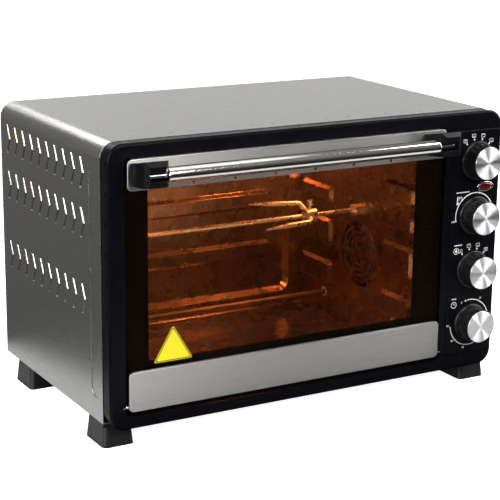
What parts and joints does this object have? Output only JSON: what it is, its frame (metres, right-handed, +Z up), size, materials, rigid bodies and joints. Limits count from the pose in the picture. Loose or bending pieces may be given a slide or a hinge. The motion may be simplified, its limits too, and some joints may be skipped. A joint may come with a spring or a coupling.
{
  "type": "toaster oven",
  "caption": "Countertop convection toaster oven with a drop-down glass door, bar handle, rotary controls, steel casing, rotisserie spit and side fan.",
  "frame": {"origin": "on the surface the feet stand on, under the middle of the object's box", "axes": "+X to the right, +Y to the back, +Z up; the door faces -Y"},
  "size_m": [0.555, 0.381, 0.362],
  "materials": {
    "casing_steel": "dark brushed stainless",
    "galvanised_steel": "galvanised sheet",
    "frame_black": "satin black enamel",
    "foot_plastic": "moulded black",
    "screw_steel": "zinc plated",
    "gland_plastic": "moulded black",
    "cavity_enamel": "aluminised sheet, satin",
    "tray_steel": "aluminised sheet, satin",
    "heater_steel": "dark sheathed rod",
    "insulator_ceramic": "white ceramic",
    "lamp_glass": "clear ribbed glass",
    "lamp_bulb": "lit bulb",
    "bracket_steel": "galvanised sheet",
    "fan_aluminium": "pressed aluminium",
    "shaft_steel": "turned steel",
    "switch_plastic": "moulded phenolic",
    "spit_steel": "chromed rod",
    "knob_plastic": "black",
    "cap_aluminium": "spun face",
    "bezel_chrome": "polished",
    "lens_red": "translucent red",
    "door_glass": "tempered, tinted, with printed borders",
    "trim_steel": "brushed lengthwise",
    "handle_chrome": "polished tube",
    "bracket_plastic": "black"
  },
  "bodies": {
    "oven": {"body_screws": "screw_steel", "bottom_panel": "galvanised_steel", "cavity_left_wall": "cavity_enamel", "cavity_liner": "cavity_enamel", "cavity_right_wall": "cavity_enamel", "control_panel": "frame_black", "cord_gland": "gland_plastic", "crumb_tray": "tray_steel", "fan_motor": "bracket_steel", "foot_front_left": "foot_plastic", "foot_front_right": "foot_plastic", "foot_rear_left": "foot_plastic", "foot_rear_right": "foot_plastic", "front_frame": "frame_black", "front_ring": "frame_black", "function_switch": "switch_plastic", "heater_insulators": "insulator_ceramic", "indicator_bezel": "bezel_chrome", "indicator_lens": "lens_red", "lamp_cover": "lamp_glass", "lamp_holder": "insulator_ceramic", "lower_heater_front": "heater_steel", "lower_heater_rear": "heater_steel", "mode_switch": "switch_plastic", "outer_casing": "casing_steel", "oven_lamp": "lamp_bulb", "rear_cover": "galvanised_steel", "rotisserie_motor": "bracket_steel", "spit_cradle": "bracket_steel", "thermostat": "switch_plastic", "timer_switch": "switch_plastic", "upper_heater_front": "heater_steel", "upper_heater_rear": "heater_steel"},
    "door": {"door_glass": "door_glass", "door_top_trim": "trim_steel", "door_bottom_trim": "trim_steel", "handle_bar": "handle_chrome", "handle_bracket_left": "bracket_plastic", "handle_bracket_right": "bracket_plastic", "handle_screws": "screw_steel", "hinge_pin_left": "shaft_steel", "hinge_pin_right": "shaft_steel"},
    "rotisserie": {"spit_shaft": "spit_steel", "spit_fork": "spit_steel", "fork_screw": "screw_steel", "drive_socket": "spit_steel"},
    "fan": {"fan_impeller": "fan_aluminium", "fan_shaft": "shaft_steel"},
    "mode_control": {"mode_knob": "knob_plastic", "mode_knob_cap": "cap_aluminium", "mode_shaft": "shaft_steel"},
    "temperature_control": {"temperature_knob": "knob_plastic", "temperature_knob_cap": "cap_aluminium", "temperature_shaft": "shaft_steel"},
    "function_control": {"function_knob": "knob_plastic", "function_knob_cap": "cap_aluminium", "function_shaft": "shaft_steel"},
    "timer_control": {"timer_knob": "knob_plastic", "timer_knob_cap": "cap_aluminium", "timer_shaft": "shaft_steel"}
  },
  "joints": [
    {"name": "door_hinge", "type": "hinge", "parent": "oven", "child": "door", "pos_m": [0, -0.146, 0.051], "axis": [1, 0, 0], "range_deg": [0, 90]},
    {"name": "rotisserie_spin", "type": "hinge", "parent": "oven", "child": "rotisserie", "pos_m": [0, 0.0065, 0.211], "axis": [1, 0, 0], "continuous": true},
    {"name": "fan_spin", "type": "hinge", "parent": "oven", "child": "fan", "pos_m": [0.18, 0.0055, 0.1485], "axis": [1, 0, 0], "continuous": true},
    {"name": "mode_turn", "type": "hinge", "parent": "oven", "child": "mode_control", "pos_m": [0.236, -0.1585, 0.3], "axis": [0, 1, 0], "range_deg": [0, 79]},
    {"name": "temperature_turn", "type": "hinge", "parent": "oven", "child": "temperature_control", "pos_m": [0.236, -0.1585, 0.2285], "axis": [0, 1, 0], "range_deg": [0, 226]},
    {"name": "function_turn", "type": "hinge", "parent": "oven", "child": "function_control", "pos_m": [0.236, -0.1585, 0.157], "axis": [0, 1, 0], "range_deg": [0, 79]},
    {"name": "timer_turn", "type": "hinge", "parent": "oven", "child": "timer_control", "pos_m": [0.236, -0.1585, 0.0855], "axis": [0, 1, 0], "range_deg": [-36, 228]}
  ]
}
